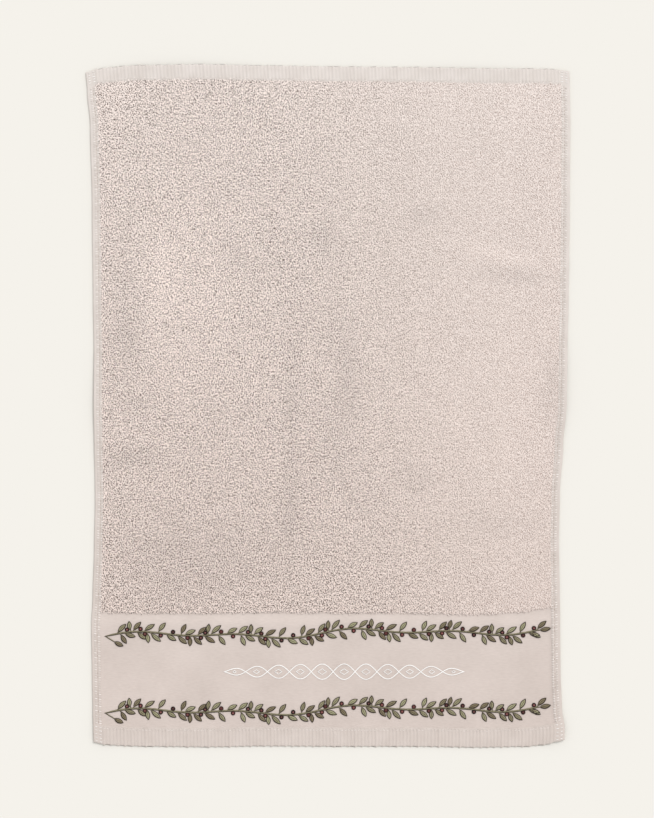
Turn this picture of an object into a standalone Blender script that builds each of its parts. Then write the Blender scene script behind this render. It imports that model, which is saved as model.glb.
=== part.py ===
"""A hand towel spread out flat: one woven cloth with a terry field, a flat band, ribbed end hems and
narrow side hems, and two embroidered leaf garlands that lie across the band.

Metres, +Z up. The cloth lies on the plane Z = 0 with its length along Y, the band at the -Y end and the
plain end at +Y. The origin is under the middle of the cloth.
"""

import math
from collections import namedtuple

import bmesh
import bpy

# The cloth as cut and hemmed, measured over its widest and longest lines
WIDTH = 0.499
LENGTH = 0.704
BAND_HEM = 0.0190  # the turned hem at the band end
PLAIN_HEM = 0.0150  # the turned hem at the plain end
SIDE_HEM = 0.0080
BAND = 0.1190  # the flat woven band, between its hem and the terry
FLAT_THICK = 0.0013
HEM_THICK = 0.0024
TERRY_THICK = 0.0036  # ground cloth with the loops on both faces
RIM_ROUND = 0.0009  # how far a folded edge rounds over
RIM_UP = 0.0008  # how high its outermost line lies above the lower face
STEP_RUN = 0.0012  # the slope from one thickness to the next

# The mesh spacing over the cloth, away from the ribs
CELL = 0.0150

# Lengthwise ribs across both end hems, a broad and a narrow one to each repeat
RIB_PITCH = 0.0074
RIB_RISE = 0.00045
RIB_SCALLOP = 0.0006  # how far the ribs stand out along the folded edge
RIB_SHAPE = ((0.00, 0.0), (0.28, 1.0), (0.56, 0.2), (0.78, 0.7))  # share of the pitch, share of the rise

# How far each side edge lies in from the widest line, going up the length
SideRow = namedtuple("SideRow", "up left_in right_in")
SIDE_ROWS = (
    SideRow(0.000, 0.0084, 0.0062),
    SideRow(0.019, 0.0079, 0.0059),
    SideRow(0.045, 0.0072, 0.0086),
    SideRow(0.100, 0.0066, 0.0101),
    SideRow(0.172, 0.0058, 0.0105),
    SideRow(0.220, 0.0073, 0.0110),
    SideRow(0.290, 0.0088, 0.0118),
    SideRow(0.363, 0.0097, 0.0108),
    SideRow(0.436, 0.0089, 0.0074),
    SideRow(0.500, 0.0083, 0.0039),
    SideRow(0.582, 0.0085, 0.0030),
    SideRow(0.655, 0.0076, 0.0018),
    SideRow(0.800, 0.0066, 0.0006),
    SideRow(0.920, 0.0046, 0.0000),
    SideRow(0.970, 0.0016, 0.0006),
    SideRow(1.000, 0.0000, 0.0010),
)

# How far each end lies in from the longest line, and how far the terry's lower edge drifts up, going across
EndRow = namedtuple("EndRow", "across band_end_in plain_end_in border_up")
END_ROWS = (
    EndRow(0.000, 0.0052, 0.0077, 0.0008),
    EndRow(0.023, 0.0031, 0.0048, 0.0006),
    EndRow(0.050, 0.0019, 0.0029, 0.0002),
    EndRow(0.100, 0.0011, 0.0010, 0.0000),
    EndRow(0.246, 0.0004, 0.0000, 0.0002),
    EndRow(0.360, 0.0014, 0.0010, 0.0006),
    EndRow(0.515, 0.0010, 0.0021, 0.0006),
    EndRow(0.670, 0.0010, 0.0027, 0.0004),
    EndRow(0.824, 0.0000, 0.0041, 0.0002),
    EndRow(0.920, 0.0009, 0.0043, 0.0018),
    EndRow(0.960, 0.0031, 0.0048, 0.0030),
    EndRow(0.983, 0.0060, 0.0054, 0.0036),
    EndRow(1.000, 0.0077, 0.0067, 0.0038),
)

# The soft ridges that the cloth keeps from being folded and handled: middle, half length and half width,
# the turn of the long way from +X in degrees, and the height
Fold = namedtuple("Fold", "x y half_long half_wide turn rise")
FOLDS = (
    Fold(0.026, 0.120, 0.150, 0.034, 88, 0.0034),  # the old lengthwise fold, upper half
    Fold(-0.014, -0.085, 0.135, 0.036, 83, 0.0032),  # the same fold, lower half
    Fold(-0.130, -0.140, 0.100, 0.062, 72, 0.0032),
    Fold(-0.200, 0.110, 0.150, 0.034, 92, 0.0026),
    Fold(-0.195, -0.042, 0.062, 0.016, 2, 0.0020),
    Fold(-0.182, -0.097, 0.070, 0.018, -4, 0.0022),
    Fold(0.198, 0.143, 0.072, 0.018, -3, 0.0024),
    Fold(0.112, 0.205, 0.050, 0.020, 24, 0.0018),
    Fold(0.140, -0.100, 0.090, 0.040, 60, 0.0020),
    Fold(0.150, 0.030, 0.090, 0.034, 40, 0.0018),
    Fold(-0.105, 0.250, 0.080, 0.034, -30, 0.0018),
    Fold(0.246, 0.016, 0.075, 0.020, 90, 0.0028),  # the raised stretch of the right side
    Fold(-0.246, 0.005, 0.070, 0.020, 90, 0.0026),  # and of the left side
    Fold(0.246, -0.348, 0.055, 0.034, 120, 0.0032),  # the corner that curls at the band end
    Fold(-0.246, -0.350, 0.050, 0.028, 60, 0.0018),
    Fold(-0.150, 0.352, 0.110, 0.026, 2, 0.0022),  # the lift along the plain end
    Fold(0.150, 0.352, 0.080, 0.020, 0, 0.0016),
)

# The garlands: a waving stem that carries the same run of leaves and berries over and over, turned upside
# down every second time
GARLAND_LEFT = -0.2300
GARLAND_RIGHT = 0.2150
WAVES = 2  # broad waves in a garland, with two quick ones in each
BROAD_WAVE = 0.0028
QUICK_WAVE = 0.0023
RUNS = 7
BARE_TIP = 0.024  # the share of the stem's length before the first run
STEM_HALF_WIDE = 0.0008
STEM_RISE = 0.0008
STEM_STEPS = 36
STITCH_GAP = 0.0003  # the embroidery clears the weave by this much
STALK = 0.0022  # from the stem's middle line to the blade
BLADE = 0.0106
LEAF_WIDE = 0.0047
LEAF_RISE = 0.0010
LEAF_BEND = 0.09  # how far a blade's tip bends along the stem, as a share of the blade
LEAN_SWAY = 7  # degrees by which like leaves differ from run to run
LEAN_TURN = 2.3  # radians of that sway from one leaf to the next
LONG_SWAY = 0.08  # the share by which their lengths differ
LONG_TURN = 1.7
BERRY_RADIUS = 0.0021
BERRY_RISE = 0.0012
BERRY_SIDES = 8
BERRY_OUT = 0.0025  # from the stem's middle line to the berry's middle
Garland = namedtuple("Garland", "name left_y right_y")
GARLANDS = (
    Garland("garland_upper", -0.2370, -0.2306),
    Garland("garland_lower", -0.3160, -0.3098),
)

# One run: where a leaf leaves the stem, as a share of the run, its side (1 above the stem, -1 below), the
# angle between stem and leaf in degrees, and the blade's length as a share of BLADE
LeafSpot = namedtuple("LeafSpot", "at side lean long")
LEAF_SPOTS = (
    LeafSpot(0.03, 1, 40, 1.08),
    LeafSpot(0.09, -1, 68, 0.90),
    LeafSpot(0.14, -1, 38, 1.06),
    LeafSpot(0.26, 1, 94, 0.88),
    LeafSpot(0.29, 1, 48, 1.00),
    LeafSpot(0.36, -1, 50, 0.94),
    LeafSpot(0.47, 1, 32, 1.16),
    LeafSpot(0.54, -1, 88, 0.92),
    LeafSpot(0.58, -1, 44, 1.12),
    LeafSpot(0.71, 1, 56, 0.98),
    LeafSpot(0.84, -1, 36, 1.10),
)
BerrySpot = namedtuple("BerrySpot", "at side")
BERRY_SPOTS = (
    BerrySpot(0.205, 1),
    BerrySpot(0.425, 1),
    BerrySpot(0.500, -1),
    BerrySpot(0.765, -1),
    BerrySpot(0.960, 1),
)

# The leaves at the garland's ends: place along the whole stem, lean with its side's sign, stalk and blade
EndLeaf = namedtuple("EndLeaf", "share lean stalk blade")
END_LEAVES = (
    EndLeaf(0.002, -44, 0.0110, 0.0100),
    EndLeaf(0.998, 34, 0.0026, 0.0116),
    EndLeaf(0.998, -8, 0.0040, 0.0112),
    EndLeaf(0.985, -46, 0.0024, 0.0096),
)

# A leaf's points. Along it they lie at a share of the stalk plus a share of the blade; out and up are shares
# of LEAF_WIDE and LEAF_RISE. Nine go round its edge, then two along its midrib.
LeafPoint = namedtuple("LeafPoint", "stalk blade out up")
LEAF_POINTS = (
    LeafPoint(0, 0.00, 0.10, 0.0),
    LeafPoint(1, 0.04, 0.12, 0.0),
    LeafPoint(1, 0.30, 0.44, 0.0),
    LeafPoint(1, 0.62, 0.43, 0.0),
    LeafPoint(1, 1.00, 0.00, 0.0),
    LeafPoint(1, 0.62, -0.43, 0.0),
    LeafPoint(1, 0.30, -0.44, 0.0),
    LeafPoint(1, 0.04, -0.12, 0.0),
    LeafPoint(0, 0.00, -0.10, 0.0),
    LeafPoint(1, 0.30, 0.00, 1.0),
    LeafPoint(1, 0.70, 0.00, 0.9),
)
LEAF_FACES = (
    (0, 1, 2, 3, 4, 5, 6, 7, 8),
    (8, 0, 9),
    (0, 1, 9),
    (1, 2, 9),
    (2, 3, 10, 9),
    (3, 4, 10),
    (4, 5, 10),
    (5, 6, 9, 10),
    (6, 7, 9),
    (7, 8, 9),
)


def clear_scene():
    for obj in list(bpy.data.objects):
        bpy.data.objects.remove(obj, do_unlink=True)


def fabric(name, colour, roughness):
    """A plain cloth material."""
    material = bpy.data.materials.new(name)
    material.use_nodes = True
    shader = material.node_tree.nodes["Principled BSDF"]
    shader.inputs["Base Color"].default_value = (*colour, 1.0)
    shader.inputs["Roughness"].default_value = roughness
    shader.inputs["Metallic"].default_value = 0.0
    return material


def eased(rows, key, value, at):
    """The column `value` of a table where the column `key` is `at`, eased from row to row."""
    for low, high in zip(rows, rows[1:]):
        start, end = getattr(low, key), getattr(high, key)
        if at <= end:
            share = (at - start) / (end - start)
            share = share * share * (3 - 2 * share)
            return getattr(low, value) * (1 - share) + getattr(high, value) * share
    return getattr(rows[-1], value)


def lift(x, y):
    """How far the cloth stands off the surface at a place: the sum of its folds."""
    total = 0.0
    for fold in FOLDS:
        turn = math.radians(fold.turn)
        dx, dy = x - fold.x, y - fold.y
        long_share = abs(dx * math.cos(turn) + dy * math.sin(turn)) / fold.half_long
        wide_share = abs(dy * math.cos(turn) - dx * math.sin(turn)) / fold.half_wide
        if long_share < 1 and wide_share < 1:
            hump = math.cos(long_share * math.pi / 2) * math.cos(wide_share * math.pi / 2)
            total += fold.rise * hump * hump
    return total


def plan(across, up):
    """The place of a point of the cloth, from its share of the width and its share of the length."""
    left = -WIDTH / 2 + eased(SIDE_ROWS, "up", "left_in", up)
    right = WIDTH / 2 - eased(SIDE_ROWS, "up", "right_in", up)
    low = -LENGTH / 2 + eased(END_ROWS, "across", "band_end_in", across)
    high = LENGTH / 2 - eased(END_ROWS, "across", "plain_end_in", across)
    border = (BAND_HEM + BAND) / LENGTH
    nearness = up / border if up < border else (1 - up) / (1 - border)
    drift = eased(END_ROWS, "across", "border_up", across) * nearness
    return left + (right - left) * across, low + (high - low) * up + drift


def plain_columns():
    """Shares of the width at which the cloth away from the ribs has its points, side hems included."""
    inner = SIDE_HEM + STEP_RUN
    cells = math.ceil((WIDTH - 2 * inner) / CELL)
    middle = [inner / WIDTH + (1 - 2 * inner / WIDTH) * i / cells for i in range(cells + 1)]
    left = [RIM_ROUND / WIDTH, SIDE_HEM / WIDTH]
    return left + middle + [1 - share for share in reversed(left)]


def rib_columns():
    """Shares of the width along a ribbed hem, each with its share of the rib's rise."""
    left = [(RIM_ROUND / WIDTH, 0.0), (SIDE_HEM / WIDTH, 0.0)]
    ribs = round((WIDTH - 2 * SIDE_HEM - 2 * STEP_RUN) / RIB_PITCH)
    start, end = (SIDE_HEM + STEP_RUN) / WIDTH, 1 - (SIDE_HEM + STEP_RUN) / WIDTH
    ribbed = [
        (start + (end - start) * (rib + shift) / ribs, rise)
        for rib in range(ribs)
        for shift, rise in RIB_SHAPE
    ]
    return left + ribbed + [(end, 0.0)] + [(1 - share, rise) for share, rise in reversed(left)]


# A row of the cloth's upper face: share of the length, thickness between the side hems, and the share of
# the full rib relief, or None where the row has no ribs
ClothRow = namedtuple("ClothRow", "up thick ribs")


def cloth_rows():
    """The rows of the cloth from the band end to the plain end."""
    band_start = BAND_HEM + STEP_RUN
    terry_start = BAND_HEM + BAND + STEP_RUN
    terry_end = LENGTH - PLAIN_HEM - STEP_RUN
    band_cells = math.ceil(BAND / CELL)
    terry_cells = math.ceil((terry_end - terry_start) / CELL)
    rows = [
        ClothRow(RIM_ROUND, HEM_THICK, 1.0),
        ClothRow(BAND_HEM / 2, HEM_THICK, 1.0),
        ClothRow(BAND_HEM, HEM_THICK, 0.4),
    ]
    rows += [
        ClothRow(band_start + (BAND_HEM + BAND - band_start) * i / band_cells, FLAT_THICK, None)
        for i in range(band_cells + 1)
    ]
    rows += [
        ClothRow(terry_start + (terry_end - terry_start) * i / terry_cells, TERRY_THICK, None)
        for i in range(terry_cells + 1)
    ]
    rows += [
        ClothRow(LENGTH - PLAIN_HEM, HEM_THICK, 0.4),
        ClothRow(LENGTH - PLAIN_HEM / 2, HEM_THICK, 1.0),
        ClothRow(LENGTH - RIM_ROUND, HEM_THICK, 1.0),
    ]
    return [row._replace(up=row.up / LENGTH) for row in rows]


def strip(mesh, near, far):
    """Faces between two rows of (share, vertex) that run the same way, whatever their counts of points."""
    i = j = 0
    while i < len(near) - 1 or j < len(far) - 1:
        next_near = near[i + 1][0] if i < len(near) - 1 else math.inf
        next_far = far[j + 1][0] if j < len(far) - 1 else math.inf
        if next_near == next_far:
            mesh.faces.new((near[i][1], near[i + 1][1], far[j + 1][1], far[j][1]))
            i += 1
            j += 1
        elif next_near < next_far:
            mesh.faces.new((near[i][1], near[i + 1][1], far[j][1]))
            i += 1
        else:
            mesh.faces.new((near[i][1], far[j + 1][1], far[j][1]))
            j += 1


def mesh_object(name, mesh, material):
    data = bpy.data.meshes.new(name)
    mesh.to_mesh(data)
    mesh.free()
    data.materials.append(material)
    obj = bpy.data.objects.new(name, data)
    bpy.context.scene.collection.objects.link(obj)
    return obj


def top_row(mesh, row):
    """The points of one row across the upper face."""
    columns = [(share, 0.0) for share in plain_columns()] if row.ribs is None else rib_columns()
    edge_share = 1.0001 * SIDE_HEM / WIDTH
    points = []
    for share, rib in columns:
        x, y = plan(share, row.up)
        in_side_hem = share < edge_share or share > 1 - edge_share
        thick = HEM_THICK if in_side_hem else row.thick
        relief = rib * RIB_RISE * (row.ribs or 0.0)
        points.append((share, mesh.verts.new((x, y, lift(x, y) + thick + relief))))
    return points


def under_row(mesh, row):
    """The points of one row across the lower face, flat but for the folds."""
    points = []
    for share in plain_columns():
        x, y = plan(share, row.up)
        points.append((share, mesh.verts.new((x, y, lift(x, y)))))
    return points


def side_rim(mesh, row, across):
    """The outermost point of a side edge."""
    x, y = plan(across, row.up)
    return across, mesh.verts.new((x, y, lift(x, y) + RIM_UP))


def end_rim(mesh, up, outward, first, last):
    """The outermost row of an end, scalloped by its ribs, between the two side rims."""
    points = [first]
    for share, rib in rib_columns():
        x, y = plan(share, up)
        y -= outward * (1 - rib) * RIB_SCALLOP
        points.append((share, mesh.verts.new((x, y, lift(x, y) + RIM_UP))))
    return points + [last]


def towel_cloth():
    """The whole cloth as one closed solid: upper face, lower face and the rounded rim between them."""
    mesh = bmesh.new()
    rows = cloth_rows()
    tops = [top_row(mesh, row) for row in rows]
    unders = [under_row(mesh, row) for row in rows]
    lefts = [side_rim(mesh, row, 0.0) for row in rows]
    rights = [side_rim(mesh, row, 1.0) for row in rows]
    for i in range(len(rows) - 1):
        strip(mesh, tops[i], tops[i + 1])
        strip(mesh, unders[i + 1], unders[i])
        mesh.faces.new((lefts[i][1], tops[i][0][1], tops[i + 1][0][1], lefts[i + 1][1]))
        mesh.faces.new((unders[i][0][1], lefts[i][1], lefts[i + 1][1], unders[i + 1][0][1]))
        mesh.faces.new((tops[i][-1][1], rights[i][1], rights[i + 1][1], tops[i + 1][-1][1]))
        mesh.faces.new((rights[i][1], unders[i][-1][1], unders[i + 1][-1][1], rights[i + 1][1]))
    band_rim = end_rim(mesh, 0.0, -1, lefts[0], rights[0])
    plain_rim = end_rim(mesh, 1.0, 1, lefts[-1], rights[-1])
    strip(mesh, band_rim, tops[0])
    strip(mesh, unders[0], band_rim)
    strip(mesh, tops[-1], plain_rim)
    strip(mesh, plain_rim, unders[-1])
    bmesh.ops.recalc_face_normals(mesh, faces=mesh.faces)
    return mesh_object("towel_cloth", mesh, fabric("cotton_blush", (0.70, 0.60, 0.55), 0.95))


def band_top(x, y):
    """The height at which embroidery starts, just clear of the flat band."""
    return lift(x, y) + FLAT_THICK + STITCH_GAP


def stem_point(garland, share):
    """A point of a garland's stem, from its share of the whole garland's length."""
    x = GARLAND_LEFT + (GARLAND_RIGHT - GARLAND_LEFT) * share
    base = garland.left_y + (garland.right_y - garland.left_y) * share
    turn = 2 * math.pi * WAVES * share
    return x, base + BROAD_WAVE * math.sin(turn) + QUICK_WAVE * math.sin(2 * turn)


def stem_heading(garland, share):
    """The stem's direction there, in radians from +X."""
    step = 1e-3
    x0, y0 = stem_point(garland, share - step)
    x1, y1 = stem_point(garland, share + step)
    return math.atan2(y1 - y0, x1 - x0)


def stem(garland, material):
    """The stem as a low ridge of even width that tapers at its bare tip."""
    mesh = bmesh.new()
    sections = []
    for i in range(STEM_STEPS + 1):
        share = i / STEM_STEPS
        x, y = stem_point(garland, share)
        heading = stem_heading(garland, share)
        width = STEM_HALF_WIDE * (0.4 if i == 0 else 1.0)
        side_x, side_y = -math.sin(heading) * width, math.cos(heading) * width
        corners = ((1.0, 0.0), (0.5, STEM_RISE), (-0.5, STEM_RISE), (-1.0, 0.0))
        sections.append([
            mesh.verts.new((x + side_x * out, y + side_y * out, band_top(x, y) + up)) for out, up in corners
        ])
    for near, far in zip(sections, sections[1:]):
        for k in range(4):
            mesh.faces.new((near[k], near[(k + 1) % 4], far[(k + 1) % 4], far[k]))
    mesh.faces.new(sections[0])
    mesh.faces.new(sections[-1])
    bmesh.ops.recalc_face_normals(mesh, faces=mesh.faces)
    return mesh_object(garland.name, mesh, material)


def add_leaf(mesh, garland, share, lean, stalk, blade):
    """A leaf that leaves the stem at a share of its length; a positive lean puts it above the stem."""
    root_x, root_y = stem_point(garland, share)
    heading = stem_heading(garland, share) + math.radians(lean)
    cos, sin = math.cos(heading), math.sin(heading)
    bend = -math.copysign(LEAF_BEND, lean) * blade
    verts = []
    for point in LEAF_POINTS:
        along = point.stalk * stalk + point.blade * blade
        out = point.out * LEAF_WIDE + bend * point.blade**2
        x = root_x + cos * along - sin * out
        y = root_y + sin * along + cos * out
        verts.append(mesh.verts.new((x, y, band_top(x, y) + point.up * LEAF_RISE)))
    for corners in LEAF_FACES:
        mesh.faces.new([verts[corner] for corner in corners])


def add_berry(mesh, centre):
    """A low round knot of stitches."""
    rim = []
    for i in range(BERRY_SIDES):
        angle = 2 * math.pi * i / BERRY_SIDES
        x = centre[0] + BERRY_RADIUS * math.cos(angle)
        y = centre[1] + BERRY_RADIUS * math.sin(angle)
        rim.append(mesh.verts.new((x, y, band_top(x, y))))
    top = mesh.verts.new((*centre, band_top(*centre) + BERRY_RISE))
    mesh.faces.new(rim)
    for i in range(BERRY_SIDES):
        mesh.faces.new((rim[i], rim[(i + 1) % BERRY_SIDES], top))


def leaves_and_berries(garland):
    """Every leaf and berry of a garland, run by run, then the leaves at its ends."""
    mesh = bmesh.new()
    count = 0
    for run in range(RUNS):
        flip = 1 - 2 * (run % 2)
        for spot in LEAF_SPOTS:
            share = BARE_TIP + (1 - BARE_TIP) * (run + spot.at) / RUNS
            lean = spot.side * flip * (spot.lean + LEAN_SWAY * math.sin(LEAN_TURN * count))
            long = spot.long * (1 + LONG_SWAY * math.sin(LONG_TURN * count))
            add_leaf(mesh, garland, share, lean, STALK, BLADE * long)
            count += 1
        for spot in BERRY_SPOTS:
            share = BARE_TIP + (1 - BARE_TIP) * (run + spot.at) / RUNS
            x, y = stem_point(garland, share)
            heading = stem_heading(garland, share)
            out = spot.side * flip * BERRY_OUT
            add_berry(mesh, (x - out * math.sin(heading), y + out * math.cos(heading)))
    for leaf in END_LEAVES:
        add_leaf(mesh, garland, leaf.share, leaf.lean, leaf.stalk, leaf.blade)
    bmesh.ops.recalc_face_normals(mesh, faces=mesh.faces)
    return mesh


def garland_solid(garland, material):
    """A garland as one raised body: its stem joined with all its leaves and berries."""
    body = stem(garland, material)
    parts = mesh_object(garland.name + "_parts", leaves_and_berries(garland), material)
    parts.hide_render = True
    parts.display_type = "WIRE"
    union = body.modifiers.new("join_leaves", "BOOLEAN")
    union.operation = "UNION"
    union.solver = "EXACT"
    union.use_self = True
    union.object = parts
    return body


def main():
    clear_scene()
    towel_cloth()
    thread = fabric("thread_sage", (0.18, 0.18, 0.10), 0.6)
    for garland in GARLANDS:
        garland_solid(garland, thread)


main()
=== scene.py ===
"""The look of a hand towel laid flat: terry loops, ribbed hems, woven band and thread embroidery,
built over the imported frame.

Metres, +Z up. The cloth lies on Z = 0 with its banded end towards -Y.
"""

import math
from collections import namedtuple

import bpy
import numpy as np
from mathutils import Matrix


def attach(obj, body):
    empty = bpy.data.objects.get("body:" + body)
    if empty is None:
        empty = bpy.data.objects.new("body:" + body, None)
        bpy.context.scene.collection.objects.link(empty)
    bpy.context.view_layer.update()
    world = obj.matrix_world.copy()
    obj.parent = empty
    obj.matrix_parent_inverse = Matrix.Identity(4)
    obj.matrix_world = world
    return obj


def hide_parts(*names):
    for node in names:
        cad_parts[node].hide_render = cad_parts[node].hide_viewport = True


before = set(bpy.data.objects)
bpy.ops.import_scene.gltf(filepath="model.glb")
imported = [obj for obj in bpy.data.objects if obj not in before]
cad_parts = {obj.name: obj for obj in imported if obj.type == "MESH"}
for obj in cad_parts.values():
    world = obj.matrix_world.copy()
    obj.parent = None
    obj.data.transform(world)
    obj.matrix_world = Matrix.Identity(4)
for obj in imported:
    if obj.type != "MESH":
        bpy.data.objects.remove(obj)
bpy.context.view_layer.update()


def table(columns, *rows):
    """Rows with named columns."""
    row = namedtuple("row", columns)
    return [row(*values) for values in rows]


# The cloth, as in its solid
WIDTH = 0.499
LENGTH = 0.704
BAND_HEM = 0.0190
PLAIN_HEM = 0.0150
SIDE_HEM = 0.0080
BAND = 0.1190
FLAT_THICK = 0.0013
HEM_THICK = 0.0024
STEP_RUN = 0.0012
BORDER = BAND_HEM + BAND  # how far up the terry starts
TERRY_END = LENGTH - PLAIN_HEM

# How far each side edge lies in from the widest line, going up the length
SIDE_ROWS = table(
    "up left_in right_in",
    (0.000, 0.0084, 0.0062),
    (0.019, 0.0079, 0.0059),
    (0.045, 0.0072, 0.0086),
    (0.100, 0.0066, 0.0101),
    (0.172, 0.0058, 0.0105),
    (0.220, 0.0073, 0.0110),
    (0.290, 0.0088, 0.0118),
    (0.363, 0.0097, 0.0108),
    (0.436, 0.0089, 0.0074),
    (0.500, 0.0083, 0.0039),
    (0.582, 0.0085, 0.0030),
    (0.655, 0.0076, 0.0018),
    (0.800, 0.0066, 0.0006),
    (0.920, 0.0046, 0.0000),
    (0.970, 0.0016, 0.0006),
    (1.000, 0.0000, 0.0010),
)

# How far each end lies in from the longest line and the terry's lower edge drifts up, going across
END_ROWS = table(
    "across band_end_in plain_end_in border_up",
    (0.000, 0.0052, 0.0077, 0.0008),
    (0.023, 0.0031, 0.0048, 0.0006),
    (0.050, 0.0019, 0.0029, 0.0002),
    (0.100, 0.0011, 0.0010, 0.0000),
    (0.246, 0.0004, 0.0000, 0.0002),
    (0.360, 0.0014, 0.0010, 0.0006),
    (0.515, 0.0010, 0.0021, 0.0006),
    (0.670, 0.0010, 0.0027, 0.0004),
    (0.824, 0.0000, 0.0041, 0.0002),
    (0.920, 0.0009, 0.0043, 0.0018),
    (0.960, 0.0031, 0.0048, 0.0030),
    (0.983, 0.0060, 0.0054, 0.0036),
    (1.000, 0.0077, 0.0067, 0.0038),
)

# The soft ridges of the cloth: middle, half length, half width, turn of the long way in degrees, height
FOLDS = table(
    "x y half_long half_wide turn rise",
    (0.026, 0.120, 0.150, 0.034, 88, 0.0034),
    (-0.014, -0.085, 0.135, 0.036, 83, 0.0032),
    (-0.130, -0.140, 0.100, 0.062, 72, 0.0032),
    (-0.200, 0.110, 0.150, 0.034, 92, 0.0026),
    (-0.195, -0.042, 0.062, 0.016, 2, 0.0020),
    (-0.182, -0.097, 0.070, 0.018, -4, 0.0022),
    (0.198, 0.143, 0.072, 0.018, -3, 0.0024),
    (0.112, 0.205, 0.050, 0.020, 24, 0.0018),
    (0.140, -0.100, 0.090, 0.040, 60, 0.0020),
    (0.150, 0.030, 0.090, 0.034, 40, 0.0018),
    (-0.105, 0.250, 0.080, 0.034, -30, 0.0018),
    (0.246, 0.016, 0.075, 0.020, 90, 0.0028),
    (-0.246, 0.005, 0.070, 0.020, 90, 0.0026),
    (0.246, -0.348, 0.055, 0.034, 120, 0.0032),
    (-0.246, -0.350, 0.050, 0.028, 60, 0.0018),
    (-0.150, 0.352, 0.110, 0.026, 2, 0.0022),
    (0.150, 0.352, 0.080, 0.020, 0, 0.0016),
)

# Painted shade and light: soft patches along the cloth's folds and creases, darker where these lose the
# light and lighter where they catch it, partly also the lie of the pile: placed as the ridges, and the
# tone's change
FOLD_SHADES = table(
    "x y half_long half_wide turn tone",
    (-0.142, 0.109, 0.170, 0.100, 90, 0.05),
    (-0.170, 0.136, 0.070, 0.020, 90, 0.05),
    (-0.206, 0.090, 0.120, 0.024, 90, -0.05),
    (-0.200, 0.074, 0.038, 0.018, 0, -0.04),
    (-0.200, 0.002, 0.038, 0.018, 0, -0.04),
    (-0.198, -0.055, 0.046, 0.015, 0, -0.08),
    (-0.142, -0.159, 0.130, 0.066, 4, -0.07),
    (-0.091, 0.150, 0.050, 0.016, -60, -0.05),
    (-0.006, 0.172, 0.024, 0.020, 90, -0.08),
    (-0.038, -0.019, 0.160, 0.016, 90, -0.05),
    (-0.040, -0.115, 0.070, 0.020, 84, -0.06),
    (0.020, 0.037, 0.080, 0.022, 92, -0.07),
    (0.008, -0.030, 0.080, 0.038, 80, -0.05),
    (0.037, -0.097, 0.034, 0.026, 0, -0.05),
    (0.089, -0.075, 0.038, 0.024, -20, -0.06),
    (0.099, 0.198, 0.034, 0.018, 20, -0.05),
    (0.166, 0.159, 0.080, 0.016, -16, 0.04),
    (0.192, 0.133, 0.060, 0.015, -5, -0.05),
    (0.132, -0.018, 0.055, 0.018, -50, 0.04),
    (0.228, 0.022, 0.060, 0.016, 90, -0.07),
    (0.178, -0.122, 0.060, 0.026, 0, -0.04),
    (0.120, 0.230, 0.300, 0.260, 0, -0.04),
    (0.000, -0.219, 0.700, 0.010, 0, 0.08),
)

# The lengthwise ribs of the end hems: a broad and a narrow one to each repeat
RIB_PITCH = 0.0074
RIB_RISE = 0.00065
RIB_SWAY = 0.25  # the share by which the ribs differ in height
RIB_TURN = 2.1  # radians of that sway from one repeat to the next
RIDGE_TURN = 5.0  # and over one repeat
RIB_SCALLOP = 0.0008  # how far the broad ribs stand out along the folded edge
SCALLOP_FADE = 0.0040  # how far in from that edge they still do
RIB_STEPS = 12  # points across one repeat
RIB_RIDGES = table("middle half_wide rise", (0.28, 0.27, 1.0), (0.78, 0.21, 0.75))

# The fine cloth's mesh
EDGE_ROUND = 0.0012
RIM_UP = 0.0008  # how high an edge's outermost line lies above the lower face
EDGE_SHARES = (0.0, 0.10, 0.35, 0.70, 1.0)  # where the rounded edge has its lines of points
SEAM_AT = 0.0062  # from the side edge to the seam that holds the side hem
SEAM_HALF_WIDE = 0.0009
SEAM_DIP = 0.0004  # how far that seam pulls the hem down
TOP_CELL = 0.0042
UNDER_CELL = 0.0120
# Lines of points across the hems, by their distance from the edge
SIDE_HEM_LINES = (0.0030, 0.0053, SEAM_AT, 0.0071, SIDE_HEM, 0.0086)
BAND_HEM_LINES = (0.0035, 0.0070, 0.0110, 0.0150, 0.0180, BAND_HEM)
PLAIN_HEM_LINES = (0.0035, 0.0070, 0.0105, 0.0135, PLAIN_HEM)
HEM_SLOT, BAND_SLOT, GROUND_SLOT, BACK_SLOT = range(4)

# The terry loops
GROUND_THICK = 0.0023  # the terry's ground cloth, up to the loops' feet
LOOP_ACROSS = 0.00195
LOOP_ALONG = 0.00245
LOOP_JITTER = 0.24  # how far a loop strays from its place in the rows, in pitches
LOOP_LENGTH = 0.0029
LENGTH_SPREAD = 0.18  # the share by which loops differ in length
LOOP_HEIGHT = 0.0007
HEIGHT_SPREAD = 0.12  # the share by which they differ in height, within the limits
HEIGHT_LIMITS = (0.4, 1.6)
ROUGHER_LEFT = 0.30  # how much higher the pile stands at the left edge than at the right
ROUGHER_LOW = 0.10  # and at the band end than at the plain end
CLUMP_RISE = 0.05  # how much whole clumps of loops differ in height
LOOP_TILT = 0.25  # how far a loop tips over, in heights
LOOP_LEAN = 0.16  # radians that the lie of the pile wanders from patch to patch
LOOP_SCATTER = 0.46  # radians that each loop strays from that
EDGE_STRAY = 0.0007  # how far the outermost loops stray over the terry's edges
YARN_RADIUS = 0.00076
YARN_SPREAD = 0.14
LOOP_PIECES = 5
TERRY_MARGIN = 0.0088  # from the side edge to the first loops
# A loop from foot to foot, in shares of its length and height, and how far it sinks in, in yarn radii
LOOP_PATH = table("along up sink", (-0.50, 0.0, 0.75), (-0.05, 1.0, 0.0), (0.50, 0.10, 0.85))
# Half a tube, in yarn radii
YARN_SHAPE = table("out up", (1.0, -0.8), (0.6, 0.7), (-0.6, 0.7), (-1.0, -0.8))

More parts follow.
